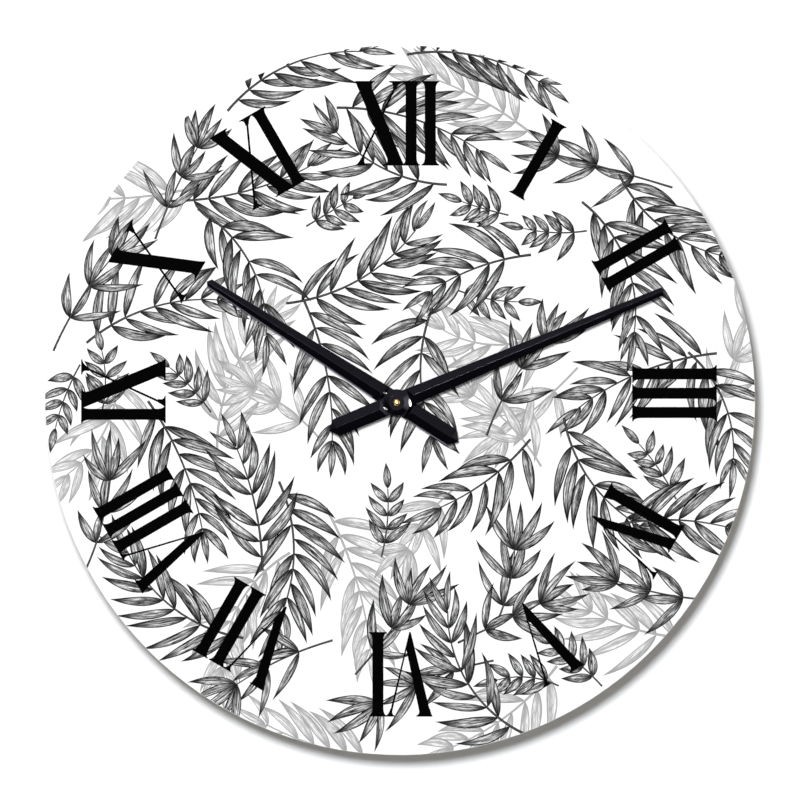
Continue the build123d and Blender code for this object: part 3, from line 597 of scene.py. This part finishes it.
def flat_mesh(name, drawn, height):
    """Triangles of the print at a height above the sheet, with their place on each stroke.

    For baking, each stroke also has a cell of its own in a grid."""
    used, faces = {}, []
    for tri, _ in drawn:
        area = (flat[tri[1]] - flat[tri[0]]).cross(flat[tri[2]] - flat[tri[0]])
        order = tri if area > 0 else tri[::-1]
        faces.append([used.setdefault(i, len(used)) for i in order])
    verts = [None] * len(used)
    for i, k in used.items():
        verts[k] = (DISC_X + flat[i].x * MM, FRONT - height, DISC_Z + flat[i].y * MM)
    mesh = bpy.data.meshes.new(name)
    mesh.from_pydata(verts, [], faces)
    back = {k: i for i, k in used.items()}
    along = mesh.uv_layers.new(name="along")
    bake = mesh.uv_layers.new(name="OFBake")
    seed = mesh.attributes.new("seed", "FLOAT", "FACE")
    tone = mesh.attributes.new("tone", "FLOAT", "FACE")
    wood = mesh.attributes.new("wood", "FLOAT", "FACE")
    numbers = sorted({n for _, n in drawn})
    slot = {n: i for i, n in enumerate(numbers)}
    columns = max(1, round(math.sqrt(len(numbers) / CELL_SHAPE)))
    rows = math.ceil(len(numbers) / columns)
    for polygon, (_, number) in zip(mesh.polygons, drawn):
        s = strokes[number]
        seed.data[polygon.index].value = s.seed
        tone.data[polygon.index].value = s.tone
        wood.data[polygon.index].value = 1.0 if s.kind == "stem" else 0.0
        column, row = slot[number] % columns, slot[number] // columns
        for loop in polygon.loop_indices:
            u, v = uv_of(back[mesh.loops[loop].vertex_index], number)
            along.data[loop].uv = (u, v)
            bake.data[loop].uv = ((column + SPARE_U + (1 - 2 * SPARE_U) * u) / columns,
                                  (row + SPARE_V + (1 - 2 * SPARE_V) * (v + 1) / 2) / rows)
    piece = bpy.data.objects.new(name, mesh)
    bpy.context.scene.collection.objects.link(piece)
    return piece


# pencil: dark outline and ends, streaks along the leaf, light between them
pencil = Paint("pencil_print", (0.5, 0.5, 0.5), 0.6, Specular_IOR_Level=0.04)
u, v, _ = pencil.split(pencil.add("ShaderNodeUVMap", uv_map="along").outputs[0])
seed, tone, wood = (pencil.add("ShaderNodeAttribute", attribute_name=name).outputs["Fac"]
                    for name in ("seed", "tone", "wood"))
jump = pencil.math("MULTIPLY", seed, 57.0)     # gives each stroke its own stretch of the noise


def streaks(along, across, rough):
    """Noise that is drawn out along the stroke."""
    return pencil.noise(pencil.join(pencil.math("MULTIPLY", u, along),
                                    pencil.math("MULTIPLY", v, across), jump), 1.0, 2.0, rough)


away = pencil.math("ABSOLUTE", v)              # 0 on the rib, 1 on the outline
sign = pencil.math("MULTIPLY", pencil.math("GREATER_THAN", seed, 0.5), 2.0)
flip = pencil.math("SUBTRACT", sign, 1.0)      # -1 or 1: which half of a leaf is in shade
side = pencil.step(pencil.math("MULTIPLY", v, flip), -0.15, 0.25)
broad = streaks(2.6, 3.1, 0.6)
fine = streaks(7.0, 9.0, 0.65)
ends = pencil.math("ADD", pencil.step(u, 0.34, 0.0), pencil.step(u, 0.56, 0.94), clamp=True)
ends = pencil.math("MULTIPLY", ends, pencil.blend(fine, 0.30, 1.60), clamp=True)
grey = pencil.blend(side, 1.0, 0.86)
for streak, depth in ((pencil.step(broad, 0.40, 0.58), 0.44),
                      (pencil.step(fine, 0.47, 0.60), 0.40)):
    grey = pencil.math("SUBTRACT", grey, pencil.math("MULTIPLY", streak, depth))
grey = pencil.blend(ends, grey, 0.06)
rib = pencil.step(away, 0.12, 0.02)
grey = pencil.blend(pencil.math("MULTIPLY", rib, 0.45), grey, 0.16)
edge = pencil.step(away, 0.70, 0.86)
grey = pencil.blend(pencil.math("MULTIPLY", edge, pencil.blend(side, 0.80, 1.0)), grey, 0.06)
bark = pencil.blend(pencil.step(away, 0.1, 0.7), pencil.blend(fine, 0.18, 0.52), 0.08)
grey = pencil.blend(wood, grey, bark)
lead = pencil.math("MULTIPLY", pencil.math("SUBTRACT", 1.0, grey), tone)
grey = pencil.math("SUBTRACT", 1.0, lead)
grey = pencil.math("MINIMUM", pencil.math("MAXIMUM", grey, 0.08), 0.985)
ink = pencil.math("POWER", grey, 2.2)          # from the grey that is seen to a colour's value
pencil.put("Base Color", pencil.join(ink, ink, ink))
LEAVES_UP = 0.04 * MM                          # how far the leaves' ink is above the sheet
for k in range(PIECES):
    piece = flat_mesh(f"printed_leaves_{k + 1}", bits[k], LEAVES_UP)
    piece.data.materials.append(pencil.mat)
    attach(piece, "clock")

# ------------------------------------------------------------------ printed numerals
# a glyph stands on y = 0, in millimetres
TALL = 48.4
HAIR = 0.63                                    # width of the serifs' lines
STEM, FOOT = 6.3, 10.2                         # widths of an upright stem and of its serifs
STEM_RISE, SLANT_RISE = 4.0, 3.7               # heights of the brackets over a serif
NUMERALS_UP = 0.08 * MM                        # how far the numerals' ink is above the sheet


def glyph_i(x):
    """Upright stem with hairline serifs and small concave brackets; x is its middle."""
    half, wide = STEM / 2, FOOT / 2
    low = [(wide, 0.0)]
    for k in range(7):
        a = math.pi / 2 * k / 6
        low.append((half + (wide - half) * (1 - math.sin(a)), HAIR + STEM_RISE * (1 - math.cos(a))))
    right = low + [(px, TALL - py) for px, py in reversed(low)]
    outline = right + [(-px, py) for px, py in reversed(right)]
    return [[(x + px, py) for px, py in outline]]


def bar(x0, x1, wide):
    """Slanted bar from foot to head, its width measured level."""
    return [(x0 - wide / 2, 0), (x0 + wide / 2, 0), (x1 + wide / 2, TALL), (x1 - wide / 2, TALL)]


def serif(x, left, right, wide, top, lean):
    """Level hairline serif on a slanted bar's end, with brackets that fade into the bar."""
    out = [(x - left, 0.0), (x + right, 0.0)]
    sides = [(1, right, k) for k in range(6)] + [(-1, left, 5 - k) for k in range(6)]
    for side, reach, k in sides:
        a = math.pi / 2 * k / 5
        up = 1 - math.cos(a)
        px = side * (wide / 2 + (reach - wide / 2) * (1 - math.sin(a))) + lean * SLANT_RISE * up
        out.append((x + px, HAIR + SLANT_RISE * up))
    return [(px, TALL - py) for px, py in out] if top else out


def glyph_v(x):
    """Thick arm at the left, hairline at the right, pointed foot; x is the foot."""
    thick = [(x - 0.35, 0.0), (x + 0.35, 0.0), (x + 2.2, 9.7), (x - 5.9, TALL), (x - 12.2, TALL)]
    thin = [(x - 0.35, 0.0), (x + 0.45, 0.0), (x + 12.1, TALL), (x + 10.9, TALL)]
    return [thick, thin, serif(x - 9.05, 3.7, 5.45, 6.3, True, 0.2),
            serif(x + 11.5, 2.75, 2.6, 1.2, True, -0.22)]


def glyph_x(x):
    """Thick bar down to the right, hairline up to the right; x is the left end."""
    thick = [(x + 19.5, 0.0), (x + 27.4, 0.0), (x + 7.45, TALL), (x - 0.6, TALL)]
    return [thick, bar(x + 1.7, x + 23.9, 1.3),
            serif(x + 4.1, 4.05, 6.65, 7.45, True, 0.43),
            serif(x + 23.5, 4.6, 4.0, 2.2, True, -0.45),
            serif(x + 2.3, 2.3, 4.4, 2.2, False, 0.45),
            serif(x + 23.25, 7.9, 4.4, 7.9, False, -0.43)]


# letters of each numeral and their places, the width of its head line, and where the middle of
# the head line is on the dial
LAYOUT = {
    12: ([("x", 0.0), ("i", 31.5), ("i", 42.5)], 47.9, (-1.2, 182.6)),
    1: ([("i", 5.0)], 10.0, (91.0, 158.6)),
    2: ([("i", 5.0), ("i", 16.1)], 21.1, (156.7, 94.7)),
    3: ([("i", 5.0), ("i", 16.1), ("i", 27.1)], 32.1, (181.3, 3.9)),
    4: ([("i", 5.0), ("v", 22.0)], 36.1, (154.0, -87.2)),
    5: ([("v", 12.8)], 26.8, (93.7, -158.2)),
    6: ([("v", 12.8), ("i", 31.2)], 36.3, (0.4, -181.2)),
    7: ([("v", 12.8), ("i", 31.2), ("i", 42.2)], 47.3, (-98.6, -154.8)),
    8: ([("v", 12.8), ("i", 30.3), ("i", 41.2), ("i", 52.1)], 57.1, (-161.7, -86.1)),
    9: ([("i", 5.0), ("x", 8.9)], 35.8, (-182.5, 4.7)),
    10: ([("x", 0.0)], 27.2, (-160.2, 91.2)),
    11: ([("x", 0.0), ("i", 30.9)], 35.9, (-93.0, 159.2)),
}
MAKE = {"i": glyph_i, "v": glyph_v, "x": glyph_x}


def within(point, outline):
    """Whether a point lies inside a closed outline."""
    odd = False
    for (ax, ay), (bx, by) in zip(outline, outline[1:] + outline[:1]):
        if (ay > point.y) != (by > point.y):
            if point.x < ax + (point.y - ay) * (bx - ax) / (by - ay):
                odd = not odd
    return odd


def numerals():
    """All numerals, merged shape by shape into one flat layer without overlaps."""
    verts, faces = [], []
    for hour, (letters, width, (head_x, head_z)) in LAYOUT.items():
        shapes = [s for kind, x in letters for s in MAKE[kind](x)]
        points, rings = [], []
        for shape in shapes:
            rings.append(list(range(len(points), len(points) + len(shape))))
            points.extend(Vector(p) for p in shape)
        out, _, found, *_ = delaunay_2d_cdt(points, [], rings, INSIDE, 1e-4)
        tri = [t for t in found if any(within(sum((out[i] for i in t), Vector((0, 0))) / 3, s)
                                       for s in shapes)]
        tilt = -math.radians(30 * hour)
        start = len(verts)
        for p in out:
            x, y = p.x - width / 2, p.y - TALL
            across = head_x + x * math.cos(tilt) - y * math.sin(tilt)
            up = head_z + x * math.sin(tilt) + y * math.cos(tilt)
            verts.append((DISC_X + across * MM, FRONT - NUMERALS_UP, DISC_Z + up * MM))
        for t in tri:
            area = (out[t[1]] - out[t[0]]).cross(out[t[2]] - out[t[0]])
            t = t if area > 0 else t[::-1]
            faces.append([start + i for i in t])
    mesh = bpy.data.meshes.new("printed_numerals")
    mesh.from_pydata(verts, [], faces)
    piece = bpy.data.objects.new("printed_numerals", mesh)
    bpy.context.scene.collection.objects.link(piece)
    return piece


black = Paint("numeral_ink", (0.002, 0.002, 0.002), 0.6, Specular_IOR_Level=0.01)
dust = black.noise(black.place(), 900.0, 3.0)
black.put("Base Color", black.tint(black.step(dust, 0.3, 0.8), (0.0002, 0.0002, 0.0002),
                                   (0.0009, 0.0009, 0.0009)))
digits = numerals()
digits.data.materials.append(black.mat)
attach(digits, "clock")


# ------------------------------------------------------------------ wall, floor and light
def stage_plane(name, corners, shown, bounced, glow, one_sided):
    """Plane with one colour for the camera and a darker one for the light that it sends on.

    glow is added for the camera alone, and a one-sided plane can't be seen from behind."""
    mesh = bpy.data.meshes.new(name)
    mesh.from_pydata(corners, [], [(0, 1, 2, 3)])
    plane = bpy.data.objects.new(name, mesh)
    bpy.context.scene.collection.objects.link(plane)
    paint = Paint(name, shown, 0.9, Specular_IOR_Level=0.0)
    seen = paint.add("ShaderNodeLightPath").outputs["Is Camera Ray"]
    paint.put("Base Color", paint.tint(seen, bounced, shown))
    paint.put("Emission Color", (1.0, 1.0, 1.0))
    paint.put("Emission Strength", paint.math("MULTIPLY", seen, glow))
    if one_sided:
        choose = paint.add("ShaderNodeMixShader")
        paint.feed(choose, 0, paint.add("ShaderNodeNewGeometry").outputs["Backfacing"])
        paint.feed(choose, 1, paint.shader.outputs[0])
        paint.feed(choose, 2, paint.add("ShaderNodeBsdfTransparent").outputs[0])
        paint.feed(paint.find("OUTPUT_MATERIAL"), "Surface", choose.outputs[0])
    mesh.materials.append(paint.mat)
    return plane


WALL_Y = 0.2 * MM                              # just behind the plane of the movement's back
FLOOR_Z = -1.6
FLOOR_Y = -5                                   # how far the floor comes towards the camera
SIDE = 4                                       # how far wall and floor reach elsewhere
wall = stage_plane("wall", [(-SIDE, WALL_Y, FLOOR_Z), (SIDE, WALL_Y, FLOOR_Z),
                            (SIDE, WALL_Y, SIDE), (-SIDE, WALL_Y, SIDE)],
                   shown=(0.66, 0.68, 0.70), bounced=(0.2, 0.2, 0.2), glow=0.05,
                   one_sided=True)
wall.visible_shadow = False                    # lets the lamp behind reach the clock's back
floor = stage_plane("floor", [(-SIDE, FLOOR_Y, FLOOR_Z), (SIDE, FLOOR_Y, FLOOR_Z),
                              (SIDE, SIDE, FLOOR_Z), (-SIDE, SIDE, FLOOR_Z)],
                    shown=(0.9, 0.9, 0.9), bounced=(0.4, 0.4, 0.4), glow=0.4,
                    one_sided=False)
floor.visible_glossy = False


def lamp(name, place, aim, size, power):
    """Round lamp of a size across, at a place, turned towards its aim."""
    data = bpy.data.lights.new(name, "AREA")
    data.shape = "DISK"
    data.size = size
    data.energy = power
    obj = bpy.data.objects.new(name, data)
    obj.location = place
    obj.rotation_euler = (Vector(aim) - Vector(place)).to_track_quat("-Z", "Y").to_euler()
    bpy.context.scene.collection.objects.link(obj)
    return obj


AXIS = Vector((DISC_X, FRONT, DISC_Z))


def lamp_at(name, azimuth, off_axis, reach, size, level):
    """Lamp seen from the dial at an azimuth (0 right, 90 up) and an angle off its axis.

    level is the brightness that it alone gives a white surface that faces it."""
    a, t = math.radians(azimuth), math.radians(off_axis)
    way = Vector((math.sin(t) * math.cos(a), -math.cos(t), math.sin(t) * math.sin(a)))
    # such a surface has a brightness of power / (pi * reach) ** 2
    return lamp(name, AXIS + reach * way, AXIS, size, level * (math.pi * reach) ** 2)


KEY_PLACE = (119.0, 12.8, 2.7, 0.62)           # azimuth, angle off the axis, reach, size
lamp_at("key", *KEY_PLACE, 0.90)
# second lamp in the same place for the wall alone, so that it is white round the clock's shadow
wash = lamp_at("wall_wash", *KEY_PLACE, 0.50)
wash.light_linking.receiver_collection = bpy.data.collections.new("washed")
wash.light_linking.receiver_collection.objects.link(wall)
back_light = lamp("back_light", place=(0.6, 2.2, 1.2), aim=(0, 0, 0), size=1.4, power=72.0)
back_light.data.color = (0.86, 0.95, 1.0)

world = bpy.data.worlds.new("studio")
bpy.context.scene.world = world
world.use_nodes = True
sky = Nodes(world.node_tree)
toward = sky.add("ShaderNodeTexCoord").outputs["Generated"]
right, _, up = sky.split(toward)


def patch(direction, start, end, level):
    """Bright part of the room round a direction; start and end are cosines of angles from it."""
    near = sky.add("ShaderNodeVectorMath", operation="DOT_PRODUCT")
    sky.feed(near, 0, toward)
    sky.feed(near, 1, direction)
    return sky.ramp(near.outputs["Value"], start, end, 0.0, level)


# surfaces get an even room light. Gloss shows a dark room instead: it is paler above, and has a
# pale wall at the right, a bright patch low at the left, a faint one in front, and a bright one
# in front at the left. The camera sees white.
path = sky.add("ShaderNodeLightPath")
room = sky.ramp(up, -1.0, 1.0, 0.17, 0.27)
mirrored = sky.ramp(up, -0.3, 0.85, 0.03, 0.34)
for bright in (sky.ramp(right, 0.64, 0.93, 0.0, 1.7),
               patch((-0.5, 0.0, -0.866), 0.912, 0.936, 3.6),
               patch((0.0, -1.0, 0.0), 0.93, 0.99, 0.2),
               patch((-0.459, -0.883, 0.098), 0.965, 0.985, 2.4)):
    mirrored = sky.math("ADD", mirrored, bright)
glossy = path.outputs["Is Glossy Ray"]
gloss = sky.math("MULTIPLY", glossy, mirrored)
plain = sky.math("MULTIPLY", sky.math("SUBTRACT", 1.0, glossy), room)
level = sky.math("MAXIMUM", sky.math("ADD", gloss, plain), path.outputs["Is Camera Ray"])
ground = sky.find("BACKGROUND")
sky.feed(ground, "Strength", level)
sky.feed(ground, "Color", (1, 1, 1, 1))

bpy.context.scene.view_settings.view_transform = "Standard"
